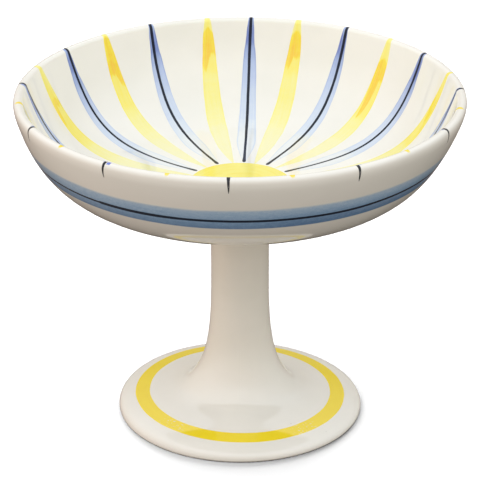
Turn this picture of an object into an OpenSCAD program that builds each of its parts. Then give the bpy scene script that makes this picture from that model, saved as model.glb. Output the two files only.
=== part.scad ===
// Footed compote bowl in glazed ceramic: a wide shallow bowl on a hollow stem and a trumpet foot.
// Millimetres, +Z up. The origin is the centre of the face that the foot stands on.
// The three thrown pieces are luted together with slip, which is modelled as two pieces of its own.

/* [Overall] */
// Height from the table to the top of the rim
height = 187.5; // [165:0.5:230]

/* [Bowl] */
// Outside diameter over the rim
rim_d = 240; // [200:1:280]
// Depth from the top of the rim to the flat floor inside
bowl_depth = 52.8; // [42:0.1:64]
// Diameter of the flat floor inside
well_d = 74; // [60:1:90]
// Thickness of the rounded lip
lip_w = 5.4; // [4.4:0.1:6.4]
// Thickness of the bowl at its floor
floor_w = 5.4; // [4.6:0.1:7]
// How much the wall swells between the lip and the floor
swell_w = 0.8; // [0.2:0.1:1.2]

/* [Stem] */
// Outside diameter of the stem
stem_d = 31.6; // [28:0.2:38]
// Wall of the hollow stem and foot
pedestal_w = 4.8; // [4:0.1:5.6]

/* [Foot] */
// Diameter over the foot
foot_d = 135; // [116:0.2:156]
// Height of the collar on which the stem is set
collar_h = 80; // [68:1:92]
// Diameter at the root of the flare, where the stem's line meets the top of the foot
root_d = 50.4; // [46:0.2:56]
// Height of that root
root_h = 20.8; // [18:0.1:24]
// Width of the edge, from where it starts to round over out to the widest point
edge_w = 9.6; // [7.6:0.1:11]
// Height of the foot's top where the edge starts to round over
shoulder_h = 7.6; // [6.4:0.1:9]
// Height of the widest point
edge_h = 1.5; // [1:0.1:2.2]
// Width of the flat ring that the foot stands on
rest_w = 5.5; // [4:0.1:7]

/* [Joints] */
// Thickness of the slip between two luted pieces
slip_t = 0.5; // [0.3:0.05:0.8]
// Length of the tongue at the lower end of the stem
tongue_l = 6; // [4:0.5:9]
// How far the slip under the bowl stays back from the stem's outside
crease_t = 0.7; // [0.4:0.05:1]

/* [Hidden] */
$fn = 96;

// Steps along each curve of an outline
bowl_steps = 30;
lip_steps = 10;
flare_steps = 16;
root_steps = 14;
edge_steps = 8;
rest_steps = 4;

// Shape of the bowl's inside, as shares of its depth and of the run from the well to the rim
wall_pull_share = 0.735;
wall_lean_share = 0.35;
well_pull_share = 0.66;
// How near the lip the wall swells, as a power of the share along the curve
swell_share = 0.4;

// Shape of the foot's curves, as shares of the runs that they cover
flare_top_share = 0.42;
flare_root_share = 0.22;
root_lean_share = 0.65;
root_in_share = 0.45;
root_out_share = 0.65;
top_slope_share = 0.19;
edge_in_share = 0.6;
edge_out_share = 0.6;

// Derived radii and heights
rim_r = rim_d / 2;
well_r = well_d / 2;
stem_r = stem_d / 2;
bore_r = stem_r - pedestal_w;
foot_r = foot_d / 2;
root_r = root_d / 2;
shoulder_r = foot_r - edge_w;
rest_out_r = foot_r - edge_h;
rest_in_r = rest_out_r - rest_w;
floor_z = height - bowl_depth;
seat_z = floor_z - floor_w;
stem_top_z = seat_z - slip_t;
stem_foot_z = collar_h + slip_t;
tongue_r = (stem_r + bore_r - slip_t) / 2;
rebate_r = tongue_r + slip_t;
rebate_z = collar_h - tongue_l;
tongue_z = rebate_z + slip_t;

// A cubic curve through its end points, its direction, and the unit vector to the left of a direction
function curve(p, t) =
    pow(1 - t, 3) * p[0] + 3 * pow(1 - t, 2) * t * p[1] + 3 * (1 - t) * t * t * p[2] + pow(t, 3) * p[3];
function heading(p, t) =
    pow(1 - t, 2) * (p[1] - p[0]) + 2 * (1 - t) * t * (p[2] - p[1]) + t * t * (p[3] - p[2]);
function left(v) = [-v[1], v[0]] / norm(v);
function run(p, steps) = [for (i = [0:steps]) curve(p, i / steps)];

// Points on an arc from angle a to angle b
function arc(centre, r, a, b, steps) =
    [for (i = [0:steps]) let (w = a + (b - a) * i / steps) centre + r * [cos(w), sin(w)]];

// The bowl's inside, from the lip down to the edge of the flat floor
lip_r = lip_w / 2;
lip_lean = atan(wall_lean_share);
lip_centre = [rim_r - lip_r, height - lip_r];
lip_inner = lip_centre + lip_r * [-cos(lip_lean), sin(lip_lean)];
wall_pull = wall_pull_share * bowl_depth;
inside = [
    lip_inner,
    lip_inner - wall_pull * [wall_lean_share, 1],
    [well_r + well_pull_share * (lip_inner[0] - well_r), floor_z],
    [well_r, floor_z]
];
function wall_at(t) = lip_w + (floor_w - lip_w) * t + swell_w * sin(180 * pow(t, swell_share));
function outside(t) = curve(inside, t) + wall_at(t) * left(heading(inside, t));

// The foot's upper surface: the flare below the collar, then the sweep out to the shoulder
flare_run = collar_h - root_h;
flare = [
    [stem_r, collar_h],
    [stem_r, collar_h - flare_top_share * flare_run],
    [root_r - root_lean_share * flare_root_share * flare_run, root_h + flare_root_share * flare_run],
    [root_r, root_h]
];
sweep_run = shoulder_r - root_r;
root_pull = root_in_share * sweep_run;
root_dir = [root_lean_share, -1] / norm([root_lean_share, -1]);
sweep = [
    [root_r, root_h],
    [root_r, root_h] + root_pull * root_dir,
    [shoulder_r, shoulder_h] + root_out_share * sweep_run * [-1, top_slope_share],
    [shoulder_r, shoulder_h]
];
edge = [
    [shoulder_r, shoulder_h],
    [shoulder_r, shoulder_h] + edge_in_share * edge_w * [1, -top_slope_share],
    [foot_r, edge_h + edge_out_share * (shoulder_h - edge_h)],
    [foot_r, edge_h]
];
function under(p, steps) = [for (i = [0:steps]) curve(p, i / steps) - pedestal_w * left(heading(p, i / steps))];
function reversed(list) = [for (i = [len(list) - 1:-1:0]) list[i]];

// A ring turned from an outline of radius and height
module turned(outline) {
    rotate_extrude() polygon(outline);
}

module bowl() {
    color("ivory") turned(concat(
        [[0, floor_z]],
        reversed(run(inside, bowl_steps)),
        reversed(arc(lip_centre, lip_r, -lip_lean, 180 - lip_lean, lip_steps)),
        [for (i = [1:bowl_steps]) outside(i / bowl_steps)],
        [[0, seat_z]]
    ));
}

// The slip under the bowl lies flat on the stem's end and stays a little back from its outside
module bowl_slip_joint() {
    color("tan") turned([
        [bore_r, stem_top_z],
        [stem_r - crease_t, stem_top_z],
        [stem_r - crease_t, seat_z],
        [bore_r, seat_z]
    ]);
}

// A hollow stem with a tongue at its lower end
module stem() {
    color("ivory") turned([
        [bore_r, tongue_z],
        [tongue_r, tongue_z],
        [tongue_r, stem_foot_z],
        [stem_r, stem_foot_z],
        [stem_r, stem_top_z],
        [bore_r, stem_top_z]
    ]);
}

// The slip in the rebate lies under the tongue, round it and under the stem's shoulder
module foot_slip_joint() {
    color("tan") turned([
        [bore_r, rebate_z],
        [rebate_r, rebate_z],
        [rebate_r, collar_h],
        [stem_r, collar_h],
        [stem_r, stem_foot_z],
        [tongue_r, stem_foot_z],
        [tongue_r, tongue_z],
        [bore_r, tongue_z]
    ]);
}

// A hollow trumpet foot whose collar is rebated for the stem's tongue
module foot() {
    color("ivory") difference() {
        turned(concat(
            run(flare, flare_steps),
            run(sweep, root_steps),
            run(edge, edge_steps),
            arc([foot_r - edge_h, edge_h], edge_h, 0, -90, rest_steps),
            [[rest_in_r, 0]],
            reversed(under(sweep, root_steps)),
            reversed(under(flare, flare_steps))
        ));
        translate([0, 0, rebate_z]) cylinder(h = tongue_l + slip_t, r = rebate_r);
    }
}

bowl();
bowl_slip_joint();
stem();
foot_slip_joint();
foot();
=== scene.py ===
# Footed compote bowl in hand-painted glazed ceramic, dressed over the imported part.
# Metres, +Z up, in the part's own frame. The photograph's side is -Y. Azimuths start at +X and go by
# the back, +Y. The tables give them in degrees.
# The paint is placed by q, the distance in millimetres from the rim's crest inwards along the surface.

import math

import bpy
import numpy as np
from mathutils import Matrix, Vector

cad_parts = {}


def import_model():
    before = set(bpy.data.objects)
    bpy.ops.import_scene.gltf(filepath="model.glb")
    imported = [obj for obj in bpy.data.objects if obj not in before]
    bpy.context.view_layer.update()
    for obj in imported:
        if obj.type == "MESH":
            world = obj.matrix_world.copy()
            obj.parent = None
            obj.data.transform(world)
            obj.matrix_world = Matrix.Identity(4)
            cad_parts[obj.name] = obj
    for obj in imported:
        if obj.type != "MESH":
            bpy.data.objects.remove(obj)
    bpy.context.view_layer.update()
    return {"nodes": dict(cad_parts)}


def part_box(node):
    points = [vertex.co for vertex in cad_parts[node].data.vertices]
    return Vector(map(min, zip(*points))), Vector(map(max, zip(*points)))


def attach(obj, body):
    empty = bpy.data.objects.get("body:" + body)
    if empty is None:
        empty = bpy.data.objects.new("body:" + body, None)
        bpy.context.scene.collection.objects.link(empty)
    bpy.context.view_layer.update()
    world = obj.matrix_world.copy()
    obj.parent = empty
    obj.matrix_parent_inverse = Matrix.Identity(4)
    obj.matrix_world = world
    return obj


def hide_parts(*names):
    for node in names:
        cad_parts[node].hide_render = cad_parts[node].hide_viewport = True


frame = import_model()

MM = 0.001

# Sizes that the frame gives
bowl_low, bowl_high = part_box("bowl")
stem_low, stem_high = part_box("stem")
_, foot_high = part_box("foot")
ring_slip_low, ring_slip_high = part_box("foot_slip_joint")
_, butt_slip_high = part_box("bowl_slip_joint")
RIM_R = bowl_high.x
HEIGHT = bowl_high.z
SEAT_Z = bowl_low.z
STEM_R = stem_high.x
STEM_TOP_Z = stem_high.z
TONGUE_Z = stem_low.z
FOOT_R = foot_high.x
COLLAR_Z = foot_high.z
REBATE_Z = ring_slip_low.z
STEM_FOOT_Z = ring_slip_high.z
BUTT_SLIP_R = butt_slip_high.x

# Sizes of the part that its box doesn't give
BOWL_DEPTH = 52.8 * MM
WELL_R = 37 * MM
LIP_W = 5.4 * MM
SWELL_W = 0.8 * MM
FLOOR_Z = HEIGHT - BOWL_DEPTH
FLOOR_W = FLOOR_Z - SEAT_Z
PEDESTAL_W = 4.8 * MM
ROOT_R = 25.2 * MM
ROOT_Z = 20.8 * MM
EDGE_W = 9.6 * MM
SHOULDER_Z = 7.6 * MM
EDGE_Z = 1.5 * MM
REST_W = 5.5 * MM
SLIP_T = STEM_FOOT_Z - COLLAR_Z
BORE_R = STEM_R - PEDESTAL_W
TONGUE_R = (STEM_R + BORE_R - SLIP_T) / 2
REBATE_R = TONGUE_R + SLIP_T
SHOULDER_R = FOOT_R - EDGE_W
REST_OUT_R = FOOT_R - EDGE_Z
REST_IN_R = REST_OUT_R - REST_W
GLAZE_SEAM_Z = (COLLAR_Z + STEM_FOOT_Z) / 2

# Shapes of the part's curves, as shares of the runs that they cover
WALL_PULL_SHARE = 0.735
WALL_LEAN_SHARE = 0.35
WELL_PULL_SHARE = 0.66
SWELL_SHARE = 0.4
FLARE_TOP_SHARE = 0.42
FLARE_ROOT_SHARE = 0.22
ROOT_LEAN_SHARE = 0.65
ROOT_IN_SHARE = 0.45
ROOT_OUT_SHARE = 0.65
TOP_SLOPE_SHARE = 0.19
EDGE_IN_SHARE = 0.6
EDGE_OUT_SHARE = 0.6

# The lip's round, and how far it leans
LIP_R = LIP_W / 2
LIP_LEAN = math.atan(WALL_LEAN_SHARE)
LIP_CENTRE = np.array([RIM_R - LIP_R, HEIGHT - LIP_R])

# The curve on the lip's outer side: how far it pulls at the crest and on the wall, and how many of
# the wall's steps down it joins the wall
LIP_TOP_PULL = 2.7 * MM
LIP_SIDE_PULL = 4.4 * MM
LIP_JOINS_AT = 2

# The skin of glaze that runs over the joints
SKIN_T = 0.25 * MM
FILLET_R = 0.8 * MM
CREASE_T = 0.12 * MM

# The hand's unevenness. On the rim it goes inwards and down, so that the part's box holds the piece.
# The twist and the start of the wave are in radians. The belly's lean and lift move the outside alone.
HAND_R = 0.12 * MM
HAND_Z = 0.15 * MM
HAND_TWIST = 6
HAND_WAVE_START = 0.6
BOWL_LEAN = 0.5 * MM
BOWL_LEAN_FROM = 10 * MM
FOOT_LEAN = 1.0 * MM
FOOT_LEAN_FROM = 5 * MM
FOOT_LEAN_R = 58 * MM
BELLY_LEAN = 0.7 * MM
BELLY_LIFT = 0.5 * MM
BELLY_R = 112 * MM

# Steps round the axis, and along the stretches of the outlines
ROUND_STEPS = 256
SLIM_STEPS = 144
WALL_STEPS = 72
LIP_STEPS = 20
LIP_ARC_STEPS = 10
LEVEL_STEPS = 12
SHAFT_STEPS = 40
FLARE_STEPS = 44
SWEEP_STEPS = 44
EDGE_STEPS = 24
SMALL_ARC_STEPS = 8
# Points of an outline nearer than this are one point
SAME_POINT = 1e-7
SHARP_ANGLE = math.radians(35)


def cubic(p0, p1, p2, p3, steps):
    """Points along a cubic curve, and the unit vectors to the left of its heading."""
    p0, p1, p2, p3 = (np.array(p, float) for p in (p0, p1, p2, p3))
    t = np.linspace(0, 1, steps + 1)[:, None]
    at = (1 - t) ** 3 * p0 + 3 * (1 - t) ** 2 * t * p1 + 3 * (1 - t) * t * t * p2 + t ** 3 * p3
    go = (1 - t) ** 2 * (p1 - p0) + 2 * (1 - t) * t * (p2 - p1) + t * t * (p3 - p2)
    left = np.stack([-go[:, 1], go[:, 0]], 1) / np.linalg.norm(go, axis=1)[:, None]
    return at, left


def arc(centre, radius, start, end, steps):
    """Points on an arc between two angles in degrees."""
    w = np.radians(np.linspace(start, end, steps + 1))
    return np.array(centre) + radius * np.stack([np.cos(w), np.sin(w)], 1)


def line(start, end, steps=1):
    """Points along a straight line."""
    t = np.linspace(0, 1, steps + 1)[:, None]
    return np.array(start) * (1 - t) + np.array(end) * t


def joined(*stretches):
    """One outline from several stretches, without doubled points."""
    points = np.concatenate(stretches)
    gap = np.linalg.norm(np.diff(points, axis=0), axis=1)
    return points[np.concatenate([[True], gap > SAME_POINT])]


def bowl_inside():
    """The bowl's inside from the lip down to the edge of the flat floor, and the way into the wall."""
    lip_inner = LIP_CENTRE + LIP_R * np.array([-math.cos(LIP_LEAN), math.sin(LIP_LEAN)])
    pull = WALL_PULL_SHARE * BOWL_DEPTH
    return cubic(
        lip_inner,
        lip_inner - pull * np.array([WALL_LEAN_SHARE, 1]),
        [WELL_R + WELL_PULL_SHARE * (lip_inner[0] - WELL_R), FLOOR_Z],
        [WELL_R, FLOOR_Z],
        WALL_STEPS,
    )


def bowl_outline():
    """From the middle of the bowl's floor out, up, over the lip and down to the middle of its seat."""
    inside, left = bowl_inside()
    share = np.linspace(0, 1, len(inside))[:, None]
    wall = LIP_W + (FLOOR_W - LIP_W) * share + SWELL_W * np.sin(math.pi * share ** SWELL_SHARE)
    outside = inside + wall * left
    crest = LIP_CENTRE + [0, LIP_R]
    below = outside[LIP_JOINS_AT]
    down = outside[LIP_JOINS_AT + 1] - outside[LIP_JOINS_AT - 1]
    down = down / np.linalg.norm(down)
    lip, _ = cubic(crest, crest + [LIP_TOP_PULL, 0], below - LIP_SIDE_PULL * down, below, LIP_STEPS)
    return joined(
        line([0, FLOOR_Z], [WELL_R, FLOOR_Z], LEVEL_STEPS),
        inside[::-1],
        arc(LIP_CENTRE, LIP_R, 180 - math.degrees(LIP_LEAN), 90, LIP_ARC_STEPS),
        lip,
        outside[LIP_JOINS_AT + 1:],
        line([WELL_R, SEAT_Z], [0, SEAT_Z], LEVEL_STEPS),
    )


def stem_outline():
    """Down the stem's outside, round its tongue and up its bore, with the glaze over its ends."""
    fillet_z = SEAT_Z - CREASE_T - FILLET_R
    return joined(
        [[BUTT_SLIP_R + SKIN_T / 2, STEM_TOP_Z], [BUTT_SLIP_R + SKIN_T / 2, SEAT_Z - CREASE_T]],
        arc([STEM_R + FILLET_R, fillet_z], FILLET_R, 90, 180, SMALL_ARC_STEPS),
        line([STEM_R, fillet_z], [STEM_R, GLAZE_SEAM_Z], SHAFT_STEPS),
        [[STEM_R - SKIN_T, GLAZE_SEAM_Z], [STEM_R - SKIN_T, STEM_FOOT_Z], [TONGUE_R, STEM_FOOT_Z]],
        [[TONGUE_R, TONGUE_Z], [BORE_R, TONGUE_Z], [BORE_R, STEM_TOP_Z]],
    )


def foot_outline():
    """Down the flare, out over the foot's top, round its edge and up the hollow inside."""
    flare_run = COLLAR_Z - ROOT_Z
    flare, flare_left = cubic(
        [STEM_R, COLLAR_Z],
        [STEM_R, COLLAR_Z - FLARE_TOP_SHARE * flare_run],
        [ROOT_R - ROOT_LEAN_SHARE * FLARE_ROOT_SHARE * flare_run, ROOT_Z + FLARE_ROOT_SHARE * flare_run],
        [ROOT_R, ROOT_Z],
        FLARE_STEPS,
    )
    run = SHOULDER_R - ROOT_R
    root_way = np.array([ROOT_LEAN_SHARE, -1]) / math.hypot(ROOT_LEAN_SHARE, 1)
    root = np.array([ROOT_R, ROOT_Z])
    shoulder = np.array([SHOULDER_R, SHOULDER_Z])
    sweep, sweep_left = cubic(
        root,
        root + ROOT_IN_SHARE * run * root_way,
        shoulder + ROOT_OUT_SHARE * run * np.array([-1, TOP_SLOPE_SHARE]),
        shoulder,
        SWEEP_STEPS,
    )
    edge, _ = cubic(
        shoulder,
        shoulder + EDGE_IN_SHARE * EDGE_W * np.array([1, -TOP_SLOPE_SHARE]),
        [FOOT_R, EDGE_Z + EDGE_OUT_SHARE * (SHOULDER_Z - EDGE_Z)],
        [FOOT_R, EDGE_Z],
        EDGE_STEPS,
    )
    return joined(
        [[STEM_R, GLAZE_SEAM_Z]],
        flare,
        sweep[1:],
        edge[1:],
        arc([REST_OUT_R, EDGE_Z], EDGE_Z, 0, -90, SMALL_ARC_STEPS)[1:],
        [[REST_IN_R, 0]],
        (sweep - PEDESTAL_W * sweep_left)[::-1],
        (flare - PEDESTAL_W * flare_left)[::-1],
        [[BORE_R, REBATE_Z], [REBATE_R, REBATE_Z], [REBATE_R, COLLAR_Z]],
        [[STEM_R - SKIN_T, COLLAR_Z], [STEM_R - SKIN_T, GLAZE_SEAM_Z]],
    )


def ring_slip_outline():
    """The slip between the stem's tongue and the foot's rebate, just under the skin of glaze."""
    out_r = STEM_R - 1.2 * SKIN_T
    return np.array([
        [BORE_R, TONGUE_Z],
        [TONGUE_R, TONGUE_Z],
        [TONGUE_R, STEM_FOOT_Z],
        [out_r, STEM_FOOT_Z],
        [out_r, COLLAR_Z],
        [REBATE_R, COLLAR_Z],
        [REBATE_R, REBATE_Z],
        [BORE_R, REBATE_Z],
    ])


INNER_WALL, _ = bowl_inside()


def uneven(r, z, azimuth):
    """The turned shape with the hand's unevenness: a little out of round, a wavy rim that dips to the
    left, and a foot whose top leans the other way. The face that the foot stands on stays level. The
    outside of the bowl's wall leans a little to the left at mid height, and its low belly is taken in,
    most on the right."""
    twist = HAND_TWIST * z / HEIGHT
    out_of_round = (2 + np.sin(2 * azimuth + twist) + np.sin(3 * azimuth - twist)) / 4
    reach = np.clip(r / RIM_R, 0, 1)
    rise = np.clip((z - FLOOR_Z) / BOWL_DEPTH, 0, 1) ** 2
    wave = (2 + np.sin(2 * azimuth + HAND_WAVE_START) + np.sin(5 * azimuth)) / 4
    off_stem = np.clip((r - STEM_R) / (RIM_R - STEM_R), 0, 1)
    off_seat = np.clip((z - SEAT_Z) / BOWL_LEAN_FROM, 0, 1)
    bowl_dip = BOWL_LEAN * off_stem * off_seat * ((1 - np.cos(azimuth)) / 2) ** 2
    wall_r = np.interp(z, INNER_WALL[::-1, 1], INNER_WALL[::-1, 0])
    outer = np.clip((r - wall_r) / LIP_W, 0, 1) * (z > SEAT_Z)
    up_wall = np.clip((z - SEAT_Z) / (HEIGHT - SEAT_Z), 0, 1)
    belly_lean = BELLY_LEAN * outer * np.sin(math.pi * up_wall) ** 2 * np.cos(azimuth)
    low_belly = np.sin(math.pi * np.clip((r - WELL_R) / (BELLY_R - WELL_R), 0, 1))
    belly_lift = BELLY_LIFT * outer * low_belly * (2 + np.cos(azimuth)) / 3
    off_flare = np.clip((r - STEM_R) / (FOOT_LEAN_R - STEM_R), 0, 1)
    off_rest = np.clip(z / FOOT_LEAN_FROM, 0, 1) * (z < SEAT_Z)
    foot_lift = -FOOT_LEAN * off_flare * off_rest * np.cos(azimuth)
    uneven_r = r - HAND_R * reach * out_of_round - belly_lean
    return uneven_r, z - HAND_Z * rise * wave - bowl_dip + belly_lift + foot_lift


def lengths_along(outline):
    """How far each point of an outline lies from its first one, along it."""
    step = np.linalg.norm(np.diff(outline, axis=0), axis=1)
    return np.concatenate([[0], np.cumsum(step)])


def turned(name, outline, steps):
    """A mesh turned round Z from an outline of radius and height. It is closed, or ends on the axis.
    Each vertex holds its length along the outline in an attribute."""
    count = len(outline)
    closed = outline[0][0] > 0
    along = lengths_along(outline)
    angles = np.arange(steps) * 2 * math.pi / steps
    verts, first, lengths = [], [], []
    for (r, z), length in zip(outline, along):
        first.append(len(verts))
        ring = angles if r > 0 else angles[:1]
        ring_r, ring_z = uneven(r, z, ring)
        verts.extend(zip(ring_r * np.cos(ring), ring_r * np.sin(ring), ring_z * np.ones(len(ring))))
        lengths.extend([length] * len(ring))
    faces = []
    for i in range(count if closed else count - 1):
        a, b = first[i], first[(i + 1) % count]
        here, there = outline[i][0] > 0, outline[(i + 1) % count][0] > 0
        for j in range(steps):
            k = (j + 1) % steps
            corners = [
                a + (j if here else 0),
                b + (j if there else 0),
                b + (k if there else 0),
                a + (k if here else 0),
            ]
            faces.append([c for n, c in enumerate(corners) if c not in corners[:n]])
    mesh = bpy.data.meshes.new(name)
    mesh.from_pydata(verts, [], faces)
    mesh.polygons.foreach_set("use_smooth", [True] * len(mesh.polygons))
    attribute = mesh.attributes.new("along", "FLOAT", "POINT")
    attribute.data.foreach_set("value", np.array(lengths, np.float32))
    mesh.update()
    mesh.set_sharp_from_angle(angle=SHARP_ANGLE)
    piece = bpy.data.objects.new(name, mesh)
    bpy.context.scene.collection.objects.link(piece)
    return piece


def srgb(red, green, blue):
    """A colour given as seen, 0 to 255, as the linear colour that a shader takes."""
    def linear(c):
        c = c / 255
        return c / 12.92 if c <= 0.04045 else ((c + 0.055) / 1.055) ** 2.4
    return (linear(red), linear(green), linear(blue), 1)


# How the glaze bends light, how strongly it mirrors, and the share of that which the dark lines keep
GLAZE_IOR = 1.7
MIRROR = 0.5
INK_MIRROR = 0.15


class Field:
    """A number that varies over a surface. Arithmetic on it adds Math nodes to its material."""

    def __init__(self, tree, socket):
        self.tree = tree
        self.socket = socket

    def math(self, operation, *others):
        node = self.tree.nodes.new("ShaderNodeMath")
        node.operation = operation
        for value, place in zip((self,) + others, node.inputs):
            plug(self.tree, value, place)
        return Field(self.tree, node.outputs[0])

    def __add__(self, other):
        return self.math("ADD", other)

    def __sub__(self, other):
        return self.math("SUBTRACT", other)

    def __rsub__(self, other):
        return (self * -1) + other

    def __mul__(self, other):
        return self.math("MULTIPLY", other)

    def __truediv__(self, other):
        return self.math("DIVIDE", other)

    __radd__ = __add__
    __rmul__ = __mul__

    def size(self):
        return self.math("ABSOLUTE")

    def least(self, other):
        return self.math("MINIMUM", other)

    def most(self, other):
        return self.math("MAXIMUM", other)

    def held(self):
        """The number held between 0 and 1."""
        return self.least(1).most(0)

    def rise(self, start, end):
        """0 before start, 1 after end, and a smooth rise between them. It falls if end comes first."""
        node = self.tree.nodes.new("ShaderNodeMapRange")
        node.interpolation_type = "SMOOTHSTEP"
        plug(self.tree, self, node.inputs["Value"])
        plug(self.tree, start, node.inputs["From Min"])
        plug(self.tree, end, node.inputs["From Max"])
        return Field(self.tree, node.outputs["Result"])

    def after(self, place, soft):
        """1 after a place and 0 before it, with a smooth step that reaches soft to each side."""
        return self.rise(place - soft, place + soft)

    def before(self, place, soft):
        """1 before a place and 0 after it, with a smooth step that reaches soft to each side."""
        return self.rise(place + soft, place - soft)


def plug(tree, value, place):
    """Links a field or a colour's socket to a place, or sets a plain value there."""
    if isinstance(value, Field):
        tree.links.new(value.socket, place)
    elif isinstance(value, bpy.types.NodeSocket):
        tree.links.new(value, place)
    else:
        place.default_value = value


class Surface:
    """A material in the making, with the nodes that its fields and colours come from. Its x, y, z, radius
    and along are in millimetres, its azimuth is in radians and its turn is the same from 0 to 1."""

    def __init__(self, name):
        self.material = bpy.data.materials.new(name)
        self.material.use_nodes = True
        self.tree = self.material.node_tree
        self.shader = self.tree.nodes["Principled BSDF"]
        place = self.tree.nodes.new("ShaderNodeTexCoord").outputs["Object"]
        parts = self.tree.nodes.new("ShaderNodeSeparateXYZ")
        self.tree.links.new(place, parts.inputs[0])
        x, y, z = (Field(self.tree, parts.outputs[i]) / MM for i in range(3))
        self.x, self.y, self.z = x, y, z
        self.radius = (x * x + y * y).math("SQRT")
        self.azimuth = y.math("ARCTAN2", x)
        self.turn = (self.azimuth / (2 * math.pi)).math("WRAP", 1, 0)
        node = self.tree.nodes.new("ShaderNodeAttribute")
        node.attribute_name = "along"
        self.along = Field(self.tree, node.outputs["Fac"]) / MM

    def vector(self, x, y, z):
        node = self.tree.nodes.new("ShaderNodeCombineXYZ")
        for value, place in zip((x, y, z), node.inputs):
            plug(self.tree, value, place)
        return node.outputs[0]

    def noise(self, x, y, z, detail):
        """Noise from about -1 to 1 that changes over one unit of its three numbers. So a length is
        divided by the size of the marks, and a plain number only tells one noise from another."""
        node = self.tree.nodes.new("ShaderNodeTexNoise")
        self.tree.links.new(self.vector(x, y, z), node.inputs["Vector"])
        node.inputs["Scale"].default_value = 1
        node.inputs["Detail"].default_value = detail
        return (Field(self.tree, node.outputs[0]) - 0.5) * 3

    def spots(self, across, up, detail):
        """Noise whose marks have a size in millimetres across and another up."""
        return self.noise(self.x / across, self.y / across, self.z / up, detail)

    def cells(self, size):
        """Millimetres to the nearest of many scattered points, and that point's own number."""
        node = self.tree.nodes.new("ShaderNodeTexVoronoi")
        place = self.vector(self.x / size, self.y / size, self.z / size)
        self.tree.links.new(place, node.inputs["Vector"])
        node.inputs["Scale"].default_value = 1
        split = self.tree.nodes.new("ShaderNodeSeparateColor")
        self.tree.links.new(node.outputs["Color"], split.inputs[0])
        return Field(self.tree, node.outputs["Distance"]) * size, Field(self.tree, split.outputs[0])

    def curve(self, x, points):
        """A smooth curve through points of x and height, held level beyond its ends."""
        start, end = points[0][0], points[-1][0]
        top = max(h for _, h in points)
        node = self.tree.nodes.new("ShaderNodeFloatCurve")
        plug(self.tree, (x - start) / (end - start), node.inputs["Value"])
        curve = node.mapping.curves[0]
        for _ in points[2:]:
            curve.points.new(0.5, 0.5)
        for knot, (at, height) in zip(curve.points, points):
            knot.location = ((at - start) / (end - start), height / top)
            knot.handle_type = "AUTO_CLAMPED"
        node.mapping.extend = "HORIZONTAL"
        node.mapping.update()
        return Field(self.tree, node.outputs[0]) * top

    def ramp(self, x, stops, interpolation="LINEAR"):
        """The colour at x in a row of stops, each a place from 0 to 1 and a colour."""
        node = self.tree.nodes.new("ShaderNodeValToRGB")
        plug(self.tree, x, node.inputs[0])
        ramp = node.color_ramp
        ramp.interpolation = interpolation
        for _ in stops[2:]:
            ramp.elements.new(0.5)
        for element, (at, colour) in zip(ramp.elements, stops):
            element.position = at
            element.color = colour
        return node

    def mix(self, share, under, over):
        """One colour laid over another with a share from 0 to 1."""
        node = self.tree.nodes.new("ShaderNodeMix")
        node.data_type = "RGBA"
        plug(self.tree, share, node.inputs[0])
        plug(self.tree, under, node.inputs[6])
        plug(self.tree, over, node.inputs[7])
        return node.outputs[2]

    def per_stroke(self, rows):
        """Each stroke's own numbers, looked up by azimuth. A row is an azimuth and eleven numbers."""
        rows = sorted(rows)
        edges = []
        for i, row in enumerate(rows):
            before = rows[i - 1][0] - (360 if i == 0 else 0)
            edges.append(((row[0] + before) / 2, row))
        start, wrapped = edges[0]
        spans = [(0, rows[-1] if start > 0 else wrapped)]
        spans += [(edge / 360, row) for edge, row in edges if edge > 0]
        if start < 0:
            spans.append(((start + 360) / 360, wrapped))
        spans = [(at, [row[0] / 360] + [packed(v) for v in row[1:]]) for at, row in spans]
        numbers = []
        for first in range(0, len(rows[0]), 4):
            node = self.ramp(self.turn, [(at, row[first:first + 4]) for at, row in spans], "CONSTANT")
            split = self.tree.nodes.new("ShaderNodeSeparateColor")
            self.tree.links.new(node.outputs["Color"], split.inputs[0])
            numbers += [Field(self.tree, split.outputs[i]) for i in range(3)]
            numbers.append(Field(self.tree, node.outputs["Alpha"]))
        return [numbers[0] * 360] + [(n - 0.5) * STROKE_SPAN for n in numbers[1:]]

    def finish(self, colour, rough, height, mirror=MIRROR):
        """Sets what the shader takes: colour, roughness, relief in millimetres, and how strongly the
        surface mirrors."""
        plug(self.tree, colour, self.shader.inputs["Base Color"])
        plug(self.tree, rough, self.shader.inputs["Roughness"])
        self.shader.inputs["IOR"].default_value = GLAZE_IOR
        plug(self.tree, mirror, self.shader.inputs["Specular IOR Level"])
        bump = self.tree.nodes.new("ShaderNodeBump")
        bump.inputs["Distance"].default_value = MM
        plug(self.tree, height, bump.inputs["Height"])
        self.tree.links.new(bump.outputs[0], self.shader.inputs["Normal"])
        return self.material


# A stroke's numbers travel in a ramp's colours, so they are packed between 0 and 1
STROKE_SPAN = 120.0


def packed(value):
    return 0.5 + value / STROKE_SPAN


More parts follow.
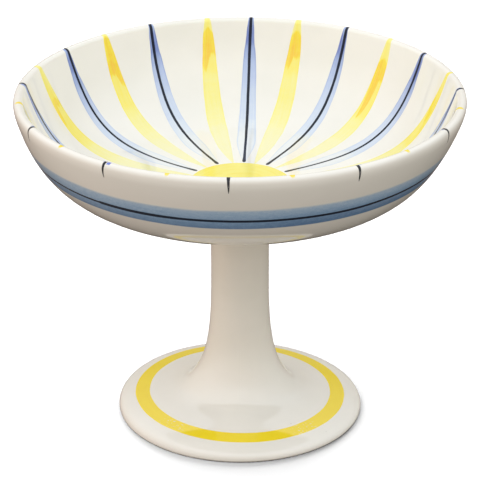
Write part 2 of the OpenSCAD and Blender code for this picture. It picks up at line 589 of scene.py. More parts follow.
# The blue strokes. The columns are the azimuth, the width as a share of the usual one, where the dark
# line runs at the four stations, where the blue wash runs there, how far the strong start reaches and
# how far the stronger part of the wash reaches. The eight in the middle are in millimetres sideways,
# clockwise from above. The last two are in millimetres of q.
BLUE_STROKES = (
    (2, 0.95, 0.6, 0.8, 0.4, 0.2, 0.6, 0.5, 0.4, 0.3, 17, 66),
    (31, 1.06, 3.0, 2.3, 0.8, 0.0, 3.3, 2.1, 1.0, 0.4, 17, 73),
    (60, 0.93, 3.0, 2.0, 0.7, 0.3, 2.6, 1.2, 0.2, 0.0, 17, 72),
    (87, 0.98, 0.2, -0.3, 0.0, 0.6, 0.3, -0.1, 0.3, 0.6, 16.5, 64),
    (115, 1.0, -2.1, -2.4, -1.3, -0.2, -1.9, -1.85, -1.2, -0.1, 17.5, 60),
    (146, 1.03, 0.4, 0.9, 0.8, 0.3, -0.5, 0.3, 0.5, 0.3, 15, 73),
    (174, 1.0, 0.4, 0.8, 0.4, 0.2, -0.8, -0.2, 0.2, 0.2, 18, 66),
    (205, 0.97, -0.8, 0.1, 0.4, 0.3, -0.2, 0.4, 0.6, 0.5, 17, 70),
    (236, 1.02, 0.6, -0.3, -0.6, -0.2, 1.1, 0.2, -0.3, -0.4, 16, 62),
    (267, 0.96, -0.4, 0.4, 0.6, 0.2, -0.9, -0.1, 0.3, 0.4, 18, 68),
    (300, 1.04, 1.0, 0.5, 0.1, -0.3, 0.2, 0.7, 0.6, 0.1, 17, 74),
    (332, 1.0, -1.1, -0.8, -0.3, 0.2, -0.4, -0.8, -0.7, -0.3, 16, 65),
)

# The yellow strokes. The columns are the azimuth, the width as a share, where the stroke runs at the
# four stations, where its golden part starts and ends, how far a finger of gold trails on, where across
# the stroke that finger lies from -1 to 1, the gold's share of its usual strength, and how far the
# deeper lemon yellow reaches. Where it runs is in millimetres sideways, as above, and the starts,
# ends and reaches are in millimetres of q.
YELLOW_STROKES = (
    (15, 0.85, 2.9, 1.5, 0.5, 0.0, -0.5, 24, 8, 0.0, 0.42, 48),
    (45, 0.95, 2.7, 2.2, 1.2, -0.2, 13, 25, 24, -0.3, 1.0, 49),
    (74, 1.02, 1.5, 0.5, 0.2, 0.5, 7, 22, 7, -0.6, 1.0, 32),
    (99, 1.03, -0.6, -1.0, -1.1, 0.2, 6.2, 22, 9, -0.6, 1.0, 32),
    (131, 0.99, 0.0, 0.3, 0.4, 0.0, 1.2, 25, 7, 0.7, 1.0, 45),
    (160, 1.0, -1.6, 0.5, 0.6, 0.4, 21, 26, 11, -0.7, 0.75, 54),
    (188, 0.96, 0.3, 0.7, 0.3, 0.3, -5, 4, 6, 0.2, 0.9, 40),
    (220.5, 1.0, 0.4, -0.2, -0.5, 0.0, -5, 19, 6, 0.4, 1.0, 50),
    (252, 0.98, -0.7, 0.1, 0.4, 0.2, -5, 24, 10, -0.3, 0.95, 36),
    (283, 1.03, 0.9, 0.4, 0.0, -0.3, -5, 20, 7, 0.5, 1.0, 47),
    (315, 0.97, -0.3, -0.7, -0.6, 0.1, -5, 28, 5, -0.5, 0.9, 34),
    (348, 1.0, 0.6, 0.6, 0.2, -0.2, -5, 17, 9, 0.0, 0.85, 44),
)

# The four stations of q for the places above, and how far beyond them the places still change, counted
# in steps from the first one
FIRST_STATION = 2.0
STATION_STEP = 36.0
STATION_LEAST = -0.2
STATION_MOST = 3.1

# Half widths in millimetres by q
BLUE_WIDTH = (
    (0, 1.3), (3, 1.65), (8, 2.15), (12, 2.38), (16, 2.68), (20, 3.25), (26, 3.7), (32, 3.95),
    (40, 4.2), (50, 4.5), (60, 4.8), (70, 5.15), (80, 5.3), (84, 5.35), (92, 4.8), (98, 3.9),
    (104, 2.8), (110, 1.5), (115, 0.0),
)
YELLOW_WIDTH = (
    (-2.8, 0.3), (-1, 1.0), (1, 1.5), (3, 1.8), (5, 2.15), (8, 2.55), (12, 3.05), (16, 3.4),
    (20, 3.65), (26, 4.0), (32, 4.2), (40, 4.45), (50, 4.7), (60, 4.95), (70, 5.0), (80, 4.5),
    (90, 3.8), (98, 2.9), (104, 2.1), (109, 1.4), (113, 0.8), (116, 0.2),
)
LINE_WIDTH = (
    (-9.5, 0.12), (-7, 0.42), (-2, 0.74), (0, 0.86), (12, 0.86), (20, 0.84), (26, 0.82),
    (32, 0.78), (60, 0.8), (70, 0.78), (84, 0.7), (98, 0.68), (104, 0.76), (108, 0.8), (111, 0.92),
    (113, 1.0), (114.2, 0.76), (115, 0.1),
)

# Strength of the paint by q: of the blue wash without its strong start, of the darker edges that it
# dried with, and of the yellow without its gold and its lemon yellow
WASH_STRENGTH = (
    (0, 0.38), (4, 0.45), (10, 0.57), (18, 0.56), (22, 0.52), (26, 0.45), (32, 0.4), (38, 0.35),
    (44, 0.28), (52, 0.24), (62, 0.21), (72, 0.15), (82, 0.06), (114, 0.04),
)
WASH_EDGE = (
    (0, 0.05), (16, 0.11), (28, 0.12), (44, 0.09), (60, 0.08), (80, 0.16), (100, 0.18), (114, 0.22),
)
YELLOW_STRENGTH = (
    (-2, 0.34), (2, 0.36), (6, 0.33), (12, 0.35), (20, 0.36), (30, 0.37), (46, 0.37),
    (52, 0.335), (62, 0.29), (72, 0.24), (90, 0.215), (105, 0.25), (114, 0.3),
)

GLAZE = srgb(243, 241, 233)
GLAZE_THICK = srgb(236, 235, 226)
BLUE_TONES = (
    (0.0, srgb(234, 237, 236)),
    (0.1, srgb(226, 232, 234)),
    (0.2, srgb(213, 224, 235)),
    (0.3, srgb(202, 215, 234)),
    (0.4, srgb(189, 204, 232)),
    (0.5, srgb(173, 191, 228)),
    (0.62, srgb(150, 170, 217)),
    (0.75, srgb(124, 145, 204)),
    (0.88, srgb(98, 118, 188)),
    (1.0, srgb(72, 90, 166)),
)
YELLOW_TONES = (
    (0.0, srgb(241, 239, 220)),
    (0.15, srgb(243, 240, 196)),
    (0.3, srgb(244, 239, 166)),
    (0.45, srgb(246, 237, 126)),
    (0.6, srgb(248, 231, 80)),
    (0.75, srgb(247, 223, 28)),
    (0.88, srgb(246, 215, 14)),
    (1.0, srgb(246, 202, 4)),
)
BAND_TONES = (
    (0.0, srgb(202, 218, 232)),
    (0.3, srgb(168, 197, 224)),
    (0.65, srgb(134, 169, 205)),
    (1.0, srgb(98, 134, 176)),
)
DAB_BLUE = srgb(92, 118, 208)
LINE_INK = srgb(20, 23, 36)
LINE_BROWN = srgb(66, 48, 40)
DISC_YELLOW = srgb(243, 234, 118)
DISC_DEEP = srgb(240, 222, 72)
RING_YELLOW = srgb(250, 227, 34)
RING_DEEP = srgb(246, 219, 22)
BISCUIT = srgb(226, 214, 196)
BISCUIT_WORN = srgb(190, 178, 162)
SLIP_CLAY = srgb(205, 192, 168)
SLIP_DARK = srgb(176, 160, 134)
SPECK = srgb(150, 138, 118)

# In what follows lengths are in millimetres, and a pair says from where to where something sets in or
# fades. What a part adds is a share of the full strength of its colour.

# The glaze: the sizes of its marks, then how rough it is, then how high they stand
CLOUD_ACROSS = 34
CLOUD_UP = 22
RIPPLE_SIZE = 9
PEEL_SIZE = 1.3
TURNING_SIZE = 3.2
PINHOLE_GRID = 17
PINHOLE_R = (0.42, 0.16)
PINHOLE_RARE = (0.55, 0.6)
PINHOLE_DARK = 0.7
GLAZE_ROUGH = 0.02
CLOUD_ROUGH = 0.006
PEEL_ROUGH = 0.003
PINHOLE_ROUGH = 0.3
RIPPLE_RELIEF = 0.004
PEEL_RELIEF = 0.0005
TURNING_RELIEF = 0.001
PINHOLE_DEPTH = 0.06

# What all strokes share: how soft their edges are, how far they wander sideways, the share by which
# their width wavers, and the q at which they end on the floor
STROKE_SOFT = 0.16
STROKE_WANDER = 0.12
STROKE_WAVER = 0.05
STROKE_LEAST = 0.1
PAINT_END = (115.4, 114.6)

# The yellow: where it starts, and how its gold and its two lemon yellows lie
YELLOW_START = (-2.6, -0.8)
YELLOW_EDGE = (0.72, 0.98)
FAINT_GOLD_START = (0.5, 3)
FAINT_GOLD_ACROSS = (0.9, 0.3)
GOLD_ARCH = 3
GOLD_TOP_SOFT = 1.2
GOLD_FOOT_SOFT = 1.6
GOLD_FINGER_HALF = 0.62
DEEP_START = (8, 20)
DEEP_SOFT = 3.5
LEMON_END = 70
LEMON_SOFT = 2.5
# What each adds to the strength of the yellow
YELLOW_EDGE_ADDS = 0.07
LEMON_ADDS = 0.05
DEEP_ADDS = 0.12
FAINT_GOLD_ADDS = 0.1
GOLD_ADDS = 0.33
GOLD_STREAKS = 0.08
GOLD_POOLS = 0.07
YELLOW_STREAKS = 0.04
YELLOW_FINE = 0.02
YELLOW_POOLS = 0.03

# The blue: where it starts, what each part adds to its strength, and how much of the strong start
# stays bare. The last five are the dab beside one stroke.
BLUE_START = (-0.8, 0.8)
BLUE_EDGE = (0.78, 0.97)
WASH_LAYER_SOFT = 1.2
WASH_LAYER_ADDS = 0.05
START_ADDS = 0.14
START_STREAKS = 0.19
START_FINE = 0.1
START_BARE_FROM = (0.7, 1.5)
START_BARE = 0.5
BLUE_STREAKS = 0.05
BLUE_FINE = 0.03
BLUE_POOLS = 0.03
DAB_AZIMUTH = 236
DAB_AWAY = -1.5
DAB_HALF = (1.2, 0.8)
DAB_START = (-2.0, -1.2)
DAB_END = (3, 2)

# The dark lines: how far they wander, how their width wavers, how dry they start, where they turn brown
LINE_START = (-9.8, -9.0)
LINE_SIDE = (0.14, -0.12)
LINE_WANDER = 0.1
LINE_WAVER = 0.1
LINE_COVER = 0.97
LINE_DRY = 0.5
LINE_DRY_END = (-1, -6)
LINE_BROWN_START = (82, 104)

# The disc on the bowl's floor, with a deeper edge and spot. It lies at high q, and not on the outside.
DISC_R = 27.2
DISC_SOFT = 0.2
DISC_WANDER = 0.25
DISC_START = (100, 105)
DISC_RING_SIZE = 1.5
DISC_CLOUD_SIZE = 9
DISC_EDGE = (-1.8, -0.2)
DISC_EDGE_ADDS = 0.22
DISC_SPOT_X = -22
DISC_SPOT_HALF_X = (3.2, 1.4)
DISC_SPOT_HALF_Y = (5, 2)
DISC_SPOT_ADDS = 0.5
DISC_ROUGH = 0.12

# The band round the outside and the line through it, by height. The line is thicker past its start, and
# most where its end laps over. Start and lap are given as turns, which are shares of a full one.
OUTSIDE = (-3, -6)
BAND_TOP_Z = 168.5
BAND_TOP_FADE = (0.9, -0.8)
BAND_FOOT_Z = 155.5
BAND_FOOT_FADE = (-0.35, 0.25)
BAND_LOWER = 0.6
BAND_LOWER_X = (0, -25)
BAND_FOOT_RISE = 0.25
BAND_FOOT_RISE_X = (-80, -45)
BAND_THICK_X = (0, 30)
BAND_THICK_DEPTH = (0.15, 0.5)
BAND_WAVE = 0.25
BAND_LINE_Z = 161.05
BAND_LINE_RISE = 0.4
BAND_LINE_RISE_X = (50, 75)
BAND_LINE_HALF = 0.66
BAND_LINE_WAVER = 0.06
BAND_LINE_STARTED = 0.12
BAND_LINE_LAP = 0.2
BAND_LINE_SOFT = 0.12
BAND_LINE_COVER = 0.96
BAND_LINE_START = (0.6409, 0.6421)
BAND_LINE_START_FADE = (1, 0.95)
BAND_LAP_END = (0.72, 0.68)
# The band's strength where it is thinnest, and what each part adds to it
BAND_LEAST = 0.17
BAND_DEPTH_ADDS = 0.74
BAND_THICK_ADDS = 0.14
BAND_BRUSH_ADDS = 0.09
BAND_MOTTLE_ADDS = 0.13
BAND_GRAIN_ADDS = 0.12

# The ring on the foot, and the turns between which it is rubbed
RING_IN_R = 50.3
RING_OUT_R = 58.3
RING_SOFT = 0.14
RING_WANDER = 0.18
RING_ABOVE_Z = (5.2, 5.8)
RING_RUBBED_TURNS = ((0.612, 0.656), (0.838, 0.882))
RING_RUBBED_SOFT = 0.006
RING_RUBBED_AWAY = 0.66

# The seam down the flare's front
SEAM_TURN = 0.75
SEAM_HALF = (0.5, 0.1)
SEAM_TOP_Z = (52, 40)
SEAM_FOOT_Z = (14, 22)
SEAM_RELIEF = 0.02

# The bare biscuit under the foot, where its radius is counted from the inside of the rest ring, and
# the slip
BISCUIT_Z = (0.7, 0.35)
BISCUIT_R = (-1.2, -0.6)
BISCUIT_ROUGH = 0.7
BISCUIT_RELIEF = 0.03
SLIP_ROUGH = 0.82


def glaze_body(s):
    """The white glaze's colour, roughness and relief, with clouds, turning lines, ripple and pinholes."""
    cloud = s.spots(CLOUD_ACROSS, CLOUD_UP, 3)
    ripple = s.spots(RIPPLE_SIZE, RIPPLE_SIZE, 1)
    peel = s.spots(PEEL_SIZE, PEEL_SIZE, 1)
    turning = s.noise(s.along / TURNING_SIZE, s.azimuth * 0.5, s.radius / 90, 2)
    away, own = s.cells(PINHOLE_GRID)
    pinhole = away.rise(*PINHOLE_R) * own.rise(*PINHOLE_RARE)
    colour = s.mix((cloud * 0.5 + 0.5).held(), GLAZE, GLAZE_THICK)
    colour = s.mix(pinhole * PINHOLE_DARK, colour, SPECK)
    rough = cloud * CLOUD_ROUGH + peel * PEEL_ROUGH + pinhole * PINHOLE_ROUGH + GLAZE_ROUGH
    height = ripple * RIPPLE_RELIEF + peel * PEEL_RELIEF + turning * TURNING_RELIEF
    return colour, rough, height - pinhole * PINHOLE_DEPTH


def through_stations(places, q):
    """A number that passes smoothly through the four places at the stations of q."""
    a, b, c, d = places
    t = ((q - FIRST_STATION) / STATION_STEP).most(STATION_LEAST).least(STATION_MOST)
    one, two, three = t - 1, t - 2, t - 3
    outer = (d * t - a * three) * one * two
    inner = (b * two - c * one) * t * three
    return outer / 6 + inner / 2


def sideways(s, azimuth):
    """Millimetres from a stroke's own azimuth, clockwise from above."""
    apart = (azimuth * math.radians(1) - s.azimuth).math("WRAP", math.pi, -math.pi)
    return apart * s.radius


def yellow_strokes(s, q, colour):
    """Lays the twelve yellow strokes: pale at the rim, golden where the brush was laid, then lemon."""
    numbers = s.per_stroke(YELLOW_STROKES)
    azimuth, width, places = numbers[0], numbers[1], numbers[2:6]
    gold_start, gold_end, trail, lie, gold_share, deep_end = numbers[6:12]
    away = sideways(s, azimuth) - through_stations(places, q)
    away = away + s.noise(q / 26, azimuth, 3.1, 1) * STROKE_WANDER
    waver = s.noise(q / 13, azimuth, away.math("SIGN") * 2.3, 2) * STROKE_WAVER + 1
    half = s.curve(q, YELLOW_WIDTH) * width * waver
    inside = (away.size() - half).before(0, STROKE_SOFT)
    across = away / half.most(STROKE_LEAST)
    part = across.size()
    streak = s.noise(away / 1.5, q / 60, azimuth, 2)
    fine = s.noise(away / 0.45, q / 14, azimuth, 2)
    ragged = s.noise(away / 1.7, azimuth, 7.7, 1)
    pool = s.noise(q / 3.4, away / 7, azimuth, 3)
    finger = (1 - ((across - lie) / GOLD_FINGER_HALF).math("POWER", 2)).most(0)
    top = q - part * part * GOLD_ARCH + ragged * 0.8
    foot = q - trail * finger - ragged.most(-0.5) * 2.5 + fine * 0.6
    gold = top.after(gold_start, GOLD_TOP_SOFT) * foot.before(gold_end, GOLD_FOOT_SOFT)
    faint = q.rise(*FAINT_GOLD_START) * part.rise(*FAINT_GOLD_ACROSS) * FAINT_GOLD_ADDS
    faint = faint * foot.rise(gold_end, gold_end - 1)
    deep_foot = q + ragged * 1.5 + fine * 0.6
    deep = deep_foot.before(deep_end, DEEP_SOFT) * q.rise(*DEEP_START) * DEEP_ADDS
    lemon_foot = q + s.noise(azimuth, 4.4, 8.1, 0) * 3 + ragged * 0.8
    lemon = lemon_foot.before(LEMON_END, LEMON_SOFT) * LEMON_ADDS
    edge = part.rise(*YELLOW_EDGE) * YELLOW_EDGE_ADDS
    grain = streak * YELLOW_STREAKS + fine * YELLOW_FINE + pool * YELLOW_POOLS
    golden = gold * (streak * GOLD_STREAKS + pool * GOLD_POOLS + GOLD_ADDS)
    strength = s.curve(q, YELLOW_STRENGTH) + edge + lemon + deep + grain + (faint + golden) * gold_share
    shade = s.ramp(strength, YELLOW_TONES).outputs[0]
    laid = inside * q.rise(*YELLOW_START) * (fine * 0.05 + 0.97).least(1)
    return s.mix(laid, colour, shade)


def blue_strokes(s, q, colour):
    """Lays the twelve blue strokes, with a strong streaky start at the rim and then a pale wash with
    darker edges. Gives the colour, and where the ink of the dark lines lies."""
    numbers = s.per_stroke(BLUE_STROKES)
    azimuth, width, line_places, places = numbers[0], numbers[1], numbers[2:6], numbers[6:10]
    start_end, wash_end = numbers[10:12]
    off = sideways(s, azimuth)
    away = off - through_stations(places, q) + s.noise(q / 24, azimuth, 1.3, 1) * STROKE_WANDER
    waver = s.noise(q / 13, azimuth, away.math("SIGN") * 1.7, 2) * STROKE_WAVER + 1
    half = s.curve(q, BLUE_WIDTH) * width * waver
    inside = (away.size() - half).before(0, STROKE_SOFT) * q.rise(*PAINT_END)
    part = away.size() / half.most(STROKE_LEAST)
    streak = s.noise(away / 0.9, q / 55, azimuth, 2)
    fine = s.noise(away / 0.35, q / 18, azimuth, 2)
    pool = s.noise(q / 3.2, away / 7, azimuth, 3)
    strong = (q + streak * 3 + fine).rise(start_end + 3, start_end - 2)
    edge = part.rise(*BLUE_EDGE) * s.curve(q, WASH_EDGE)
    layer = (q + fine * 0.6).before(wash_end, WASH_LAYER_SOFT) * WASH_LAYER_ADDS
    grain = streak * BLUE_STREAKS + fine * BLUE_FINE + pool * BLUE_POOLS
    start = strong * (streak * START_STREAKS + fine * START_FINE + START_ADDS)
    strength = s.curve(q, WASH_STRENGTH) + edge + layer + grain + start
    shade = s.ramp(strength, BLUE_TONES).outputs[0]
    bare = strong * (fine + streak).rise(*START_BARE_FROM) * START_BARE
    laid = inside * q.rise(*BLUE_START) * (1 - bare)
    colour = s.mix(laid, colour, shade)
    off_dab = (sideways(s, DAB_AZIMUTH) - DAB_AWAY).size()
    dab = off_dab.rise(*DAB_HALF) * q.rise(*DAB_START) * q.rise(*DAB_END)
    colour = s.mix(dab, colour, DAB_BLUE)
    return dark_lines(s, q, colour, azimuth, off - through_stations(line_places, q))


def dark_lines(s, q, colour, azimuth, away):
    """Lays the dark line down each blue stroke. It starts with a dry tick on the outside of the rim.
    Gives the colour, and where the ink lies."""
    away = away + s.noise(q / 17, azimuth, 5.5, 2) * LINE_WANDER
    waver = s.noise(q / 4, azimuth, away.math("SIGN"), 2) * LINE_WAVER + 1
    half = s.curve(q, LINE_WIDTH) * waver
    inside = (away.size() - half).rise(*LINE_SIDE) * q.rise(*LINE_START) * q.rise(*PAINT_END)
    dry = s.noise(away / 0.3, q / 3, azimuth, 2)
    bare = q.rise(*LINE_DRY_END) * dry.rise(0, 1.2) * LINE_DRY
    brown = q.rise(*LINE_BROWN_START) * s.noise(azimuth, 2.2, 0.7, 0).rise(0.1, 0.7)
    ink = s.mix(brown, LINE_INK, LINE_BROWN)
    laid = inside * (LINE_COVER - bare)
    return s.mix(laid, colour, ink), laid


def disc(s, q, colour):
    """Lays the yellow disc in the middle of the bowl, brushed in rings, with a deeper spot on it.
    Gives the colour, and where the disc lies."""
    wander = s.noise(s.azimuth * 3, 0.3, 0.8, 2) * DISC_WANDER
    inside = (s.radius + wander - DISC_R).before(0, DISC_SOFT) * q.rise(*DISC_START)
    rings = s.noise(s.radius / DISC_RING_SIZE, s.azimuth * 1.2, 4.4, 3)
    cloud = s.noise(s.x / DISC_CLOUD_SIZE, s.y / DISC_CLOUD_SIZE, 0.5, 2)
    edge = (s.radius - DISC_R).rise(*DISC_EDGE) * DISC_EDGE_ADDS
    spot = (s.x - DISC_SPOT_X).size().rise(*DISC_SPOT_HALF_X) * s.y.size().rise(*DISC_SPOT_HALF_Y)
    spot = spot * DISC_SPOT_ADDS
    deep = (rings * 0.4 + cloud * 0.2 + edge + spot + 0.3).held()
    return s.mix(inside, colour, s.mix(deep, DISC_YELLOW, DISC_DEEP)), inside


def band_line(s, outside):
    """Where the ink of the line round the outside lies."""
    started = s.turn.rise(*BAND_LINE_START) * s.turn.rise(*BAND_LINE_START_FADE)
    lap = started * s.turn.rise(*BAND_LAP_END)
    waver = s.noise(s.azimuth * 1.6, 0.9, 6.1, 2) * BAND_LINE_WAVER
    half = waver + started * BAND_LINE_STARTED + lap * BAND_LINE_LAP + BAND_LINE_HALF
    line_z = s.x.rise(*BAND_LINE_RISE_X) * BAND_LINE_RISE + BAND_LINE_Z
    wave = s.noise(s.azimuth * 1.3, 3.3, 1.9, 1) * BAND_WAVE
    off = (s.z - line_z + wave).size()
    return (off - half).before(0, BAND_LINE_SOFT) * outside * BAND_LINE_COVER


def outside_band(s, q, colour):
    """Lays the blue band round the outside, soft above and crisp below, with a dark line through it.
    Gives the colour, and where the line's ink lies."""
    outside = q.rise(*OUTSIDE)
    z = s.z + s.noise(s.azimuth * 2, 1.5, 2.5, 1) * BAND_WAVE
    brush = s.noise(s.azimuth * 5, s.z / 0.7, 0.2, 3)
    mottle = s.spots(2.2, 1.1, 3)
    grain = s.spots(0.5, 0.5, 2)
    lower = s.x.rise(*BAND_LOWER_X) * BAND_LOWER
    top = (z + brush * 0.3 + lower - BAND_TOP_Z).rise(*BAND_TOP_FADE)
    foot = (z - s.x.rise(*BAND_FOOT_RISE_X) * BAND_FOOT_RISE - BAND_FOOT_Z).rise(*BAND_FOOT_FADE)
    depth = (BAND_TOP_Z - z) / (BAND_TOP_Z - BAND_FOOT_Z)
    thick = s.x.rise(*BAND_THICK_X) * depth.rise(*BAND_THICK_DEPTH)
    marks = brush * BAND_BRUSH_ADDS + mottle * BAND_MOTTLE_ADDS + grain * BAND_GRAIN_ADDS
    strength = depth * BAND_DEPTH_ADDS + thick * BAND_THICK_ADDS + marks + BAND_LEAST
    colour = s.mix(top * foot * outside, colour, s.ramp(strength, BAND_TONES).outputs[0])
    laid = band_line(s, outside)
    return s.mix(laid, colour, LINE_INK), laid


def bowl_material():
    """Glaze with the strokes and the disc inside, and the band round the outside."""
    s = Surface("painted_bowl_glaze")
    outline = bowl_outline()
    q = lengths_along(outline)[outline[:, 1].argmax()] / MM - s.along
    colour, rough, height = glaze_body(s)
    colour = yellow_strokes(s, q, colour)
    colour, inside_ink = blue_strokes(s, q, colour)
    colour, on_disc = disc(s, q, colour)
    rough = rough + on_disc * DISC_ROUGH
    colour, outside_ink = outside_band(s, q, colour)
    ink = inside_ink.most(outside_ink)
    return s.finish(colour, rough, height, (1 - ink * (1 - INK_MIRROR)) * MIRROR)


def stem_material():
    s = Surface("stem_glaze")
    return s.finish(*glaze_body(s))


def yellow_ring(s, colour):
    """Lays the yellow ring on the foot's top. It is thin in places, and rubbed in two at the front."""
    out_edge = RING_OUT_R + s.noise(s.azimuth * 6, 0.6, 1.2, 3) * RING_WANDER
    in_edge = RING_IN_R + s.noise(s.azimuth * 5, 2.6, 3.2, 3) * RING_WANDER
    inside = (s.radius - out_edge).before(0, RING_SOFT) * (s.radius - in_edge).after(0, RING_SOFT)
    inside = inside * s.z.rise(*RING_ABOVE_Z)
    brush = s.noise(s.azimuth * 4, s.radius / 0.9, 0.9, 3)
    patch = s.noise(s.x / 6, s.y / 6, 0.4, 2)
    shade = s.mix((brush * 0.22 + patch * 0.2 + 0.45).held(), RING_YELLOW, RING_DEEP)
    rub = s.noise(s.azimuth * 26, s.radius / 1.4, 1.7, 3)
    thin = rub.rise(0.9, 1.2) * s.noise(s.azimuth * 1.5, 4.1, 0.2, 1).rise(0.1, 0.4)
    speck = s.noise(s.x / 1.5, s.y / 1.2, 5.3, 3)
    for start, end in RING_RUBBED_TURNS:
        rubbed = s.turn.after(start, RING_RUBBED_SOFT) * s.turn.before(end, RING_RUBBED_SOFT)
        thin = thin.most(rubbed * speck.rise(0.25, 0.6))
    return s.mix(inside * (1 - thin * RING_RUBBED_AWAY), colour, shade)


def foot_material():
    """Glaze with the yellow ring and a seam, and bare biscuit on the ring that the foot stands on."""
    s = Surface("foot_glaze")
    colour, rough, height = glaze_body(s)
    colour = yellow_ring(s, colour)
    off_seam = ((s.turn - SEAM_TURN) * s.radius * (2 * math.pi)).size()
    seam = off_seam.rise(*SEAM_HALF) * s.z.rise(*SEAM_FOOT_Z) * s.z.rise(*SEAM_TOP_Z)
    rest = s.z.rise(*BISCUIT_Z) * (s.radius - REST_IN_R / MM).rise(*BISCUIT_R)
    worn = s.noise(s.x / 4, s.y / 4, 0.3, 4)
    bare = s.mix((worn * 0.5 + 0.5).held(), BISCUIT, BISCUIT_WORN)
    colour = s.mix(rest, colour, bare)
    rough = rough + rest * BISCUIT_ROUGH
    height = height + rest * worn * BISCUIT_RELIEF + seam * SEAM_RELIEF
    return s.finish(colour, rough, height)


def slip_material():
    """Fired slip: matt, grainy clay."""
    s = Surface("fired_slip")
    patch = s.spots(2.5, 2.5, 4)
    grain = s.spots(0.3, 0.3, 3)
    colour = s.mix((patch * 0.4 + grain * 0.2 + 0.4).held(), SLIP_CLAY, SLIP_DARK)
    return s.finish(colour, grain * 0.05 + SLIP_ROUGH, patch * 0.03 + grain * 0.01)


def dress():
    """Makes the glazed pieces over the part's own, and gives the slip that still shows its material.
    Returns the foot."""
    glazed = (
        ("bowl_glazed", bowl_outline(), ROUND_STEPS, bowl_material(), "bowl"),
        ("stem_glazed", stem_outline(), SLIM_STEPS, stem_material(), "stem"),
        ("foot_glazed", foot_outline(), ROUND_STEPS, foot_material(), "foot"),
    )
    pieces = {}
    for name, outline, steps, material, node in glazed:
        piece = turned(name, outline, steps)
        pieces[node] = piece
        piece.data.materials.append(material)
        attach(piece, "root")
        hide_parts(node)
    slip = slip_material()
    piece = turned("ring_slip", ring_slip_outline(), SLIM_STEPS)
    piece.data.materials.append(slip)
    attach(piece, "root")
    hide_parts("foot_slip_joint")
    shown = frame["nodes"]["bowl_slip_joint"]
    shown.data.materials.clear()
    shown.data.materials.append(slip)
    return pieces["foot"]


# The camera stands where the photograph's did. The lens and the sensor's width are in millimetres.
CAMERA_RISE = 24.539
CAMERA_AWAY = 1.3282
AIM_Z = 0.1006
LENS = 183.18
SENSOR_W = 36
SEEN_FROM = 0.05
SEEN_TO = 50

# The floor, in metres, and the radii between which its own glow sets in
FLOOR_R = 8.0
FLOOR_STEPS = 96
FLOOR_DROP = 0.2 * MM
FLOOR_TONE = 0.05
FLOOR_GLOW = 1.1
FLOOR_GLOW_R = (0.5, 2.5)
# The lights for the floor alone: place, size and power
FLOOR_LIGHTS = (
    ((0, 1.7, 1.0), (2.5, 1.4), 1320),
    ((0, -1.2, 1.2), (2.5, 2.5), 430),
    ((-1.2, 0, 1.2), (2.5, 2.5), 530),
)

# The room's light by direction: each side's colours at these heights, from straight down to straight up.
# The least level part keeps the division sound straight above and below.
SKY_HEIGHTS = (-1.0, -0.6, -0.25, 0.0, 0.3, 0.65, 1.0)
SKY_LEAST_LEVEL = 1e-6
SKY_SIDES = {
    "left": ((0.1, 0.1, 0.12), (0.6, 0.5, 0.42), (0.5, 0.3, 0.18), (1.0, 0.88, 0.78),
             (1.2, 1.07, 1.0), (1.4, 1.4, 1.42), (1.14, 1.18, 1.24)),
    "front": ((0.1, 0.1, 0.12), (0.5, 0.52, 0.48), (0.15, 0.05, 0.03), (0.8, 0.75, 0.65),
              (0.8, 0.7, 0.64), (1.55, 1.57, 1.6), (1.14, 1.18, 1.24)),
    "right": ((0.1, 0.1, 0.12), (0.25, 0.22, 0.17), (0.35, 0.27, 0.22), (0.7, 0.71, 0.63),
              (0.8, 0.77, 0.76), (1.2, 1.24, 1.3), (1.14, 1.18, 1.24)),
    "back": ((0.1, 0.1, 0.12), (0.02, 0.02, 0.02), (0.42, 0.33, 0.28), (0.56, 0.51, 0.43),
             (0.52, 0.43, 0.33), (1.0, 0.98, 0.98), (1.14, 1.18, 1.24)),
}


def camera():
    data = bpy.data.cameras.new("camera")
    data.lens = LENS
    data.sensor_width = SENSOR_W
    data.clip_start = SEEN_FROM
    data.clip_end = SEEN_TO
    piece = bpy.data.objects.new("camera", data)
    rise = math.radians(CAMERA_RISE)
    piece.location = (0, -CAMERA_AWAY * math.cos(rise), AIM_Z + CAMERA_AWAY * math.sin(rise))
    piece.rotation_euler = (math.pi / 2 - rise, 0, 0)
    bpy.context.scene.collection.objects.link(piece)
    bpy.context.scene.camera = piece


def floor():
    """A plain pale floor. Near the part its light alone brightens it, so that the contact shadow shows,
    and further out it glows by itself."""
    angles = np.linspace(0, 2 * math.pi, FLOOR_STEPS, endpoint=False)
    ring = [(FLOOR_R * math.cos(a), FLOOR_R * math.sin(a), -FLOOR_DROP) for a in angles]
    mesh = bpy.data.meshes.new("floor")
    mesh.from_pydata(ring, [], [list(range(FLOOR_STEPS))])
    piece = bpy.data.objects.new("floor", mesh)
    bpy.context.scene.collection.objects.link(piece)
    material = bpy.data.materials.new("floor")
    material.use_nodes = True
    tree = material.node_tree
    shader = tree.nodes["Principled BSDF"]
    shader.inputs["Base Color"].default_value = (FLOOR_TONE, FLOOR_TONE, FLOOR_TONE, 1)
    shader.inputs["Roughness"].default_value = 1
    shader.inputs["Specular IOR Level"].default_value = 0
    place = tree.nodes.new("ShaderNodeTexCoord").outputs["Object"]
    length = tree.nodes.new("ShaderNodeVectorMath")
    length.operation = "LENGTH"
    tree.links.new(place, length.inputs[0])
    glow = Field(tree, length.outputs["Value"]).rise(*FLOOR_GLOW_R) * FLOOR_GLOW
    shader.inputs["Emission Color"].default_value = (1, 1, 1, 1)
    plug(tree, glow, shader.inputs["Emission Strength"])
    mesh.materials.append(material)
    piece.visible_diffuse = False
    piece.visible_glossy = False
    piece.visible_shadow = False
    return piece


def group(name, *pieces):
    """A collection for light linking."""
    collection = bpy.data.collections.new(name)
    for piece in pieces:
        collection.objects.link(piece)
    return collection


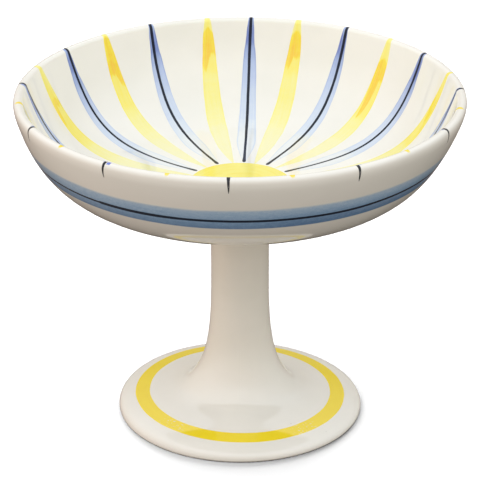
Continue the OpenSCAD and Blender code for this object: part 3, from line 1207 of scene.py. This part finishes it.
def floor_lights(floor_piece, foot_piece):
    """Wide soft lights for the floor alone, turned to the part. The foot blocks them, which gives the
    contact shadow."""
    receivers = group("lit_by_floor_lights", floor_piece)
    blockers = group("blocks_floor_lights", foot_piece)
    for place, size, power in FLOOR_LIGHTS:
        data = bpy.data.lights.new("floor_light", "AREA")
        data.shape = "RECTANGLE"
        data.size, data.size_y = size
        data.energy = power
        piece = bpy.data.objects.new("floor_light", data)
        piece.location = place
        piece.rotation_euler = Vector(place).to_track_quat("Z", "Y").to_euler()
        piece.visible_camera = False
        piece.visible_glossy = False
        bpy.context.scene.collection.objects.link(piece)
        piece.light_linking.receiver_collection = receivers
        piece.light_linking.blocker_collection = blockers


def world():
    """The soft light of a room, which differs by direction."""
    room = bpy.data.worlds.new("studio")
    room.use_nodes = True
    tree = room.node_tree
    place = tree.nodes.new("ShaderNodeTexCoord").outputs["Generated"]
    parts = tree.nodes.new("ShaderNodeSeparateXYZ")
    tree.links.new(place, parts.inputs[0])
    x, y, z = (Field(tree, parts.outputs[i]) for i in range(3))
    level = (x * x + y * y).most(SKY_LEAST_LEVEL)
    ways = {"left": x.least(0), "right": x.most(0), "front": y.least(0), "back": y.most(0)}
    total = None
    for side, colours in SKY_SIDES.items():
        node = tree.nodes.new("ShaderNodeValToRGB")
        node.name = "sky_" + side
        plug(tree, z * 0.5 + 0.5, node.inputs[0])
        for _ in colours[2:]:
            node.color_ramp.elements.new(0.5)
        for element, height, colour in zip(node.color_ramp.elements, SKY_HEIGHTS, colours):
            element.position = height * 0.5 + 0.5
            element.color = colour + (1,)
        part = tree.nodes.new("ShaderNodeVectorMath")
        part.operation = "MULTIPLY_ADD"
        tree.links.new(node.outputs["Color"], part.inputs[0])
        plug(tree, ways[side] * ways[side] / level, part.inputs[1])
        if total is not None:
            tree.links.new(total, part.inputs[2])
        total = part.outputs[0]
    back = tree.nodes["Background"]
    tree.links.new(total, back.inputs["Color"])
    bpy.context.scene.world = room


def studio(foot_piece):
    camera()
    floor_lights(floor(), foot_piece)
    world()
    scene = bpy.context.scene
    scene.view_settings.view_transform = "Standard"
    scene.view_settings.look = "None"


studio(dress())

bpy.context.view_layer.update()
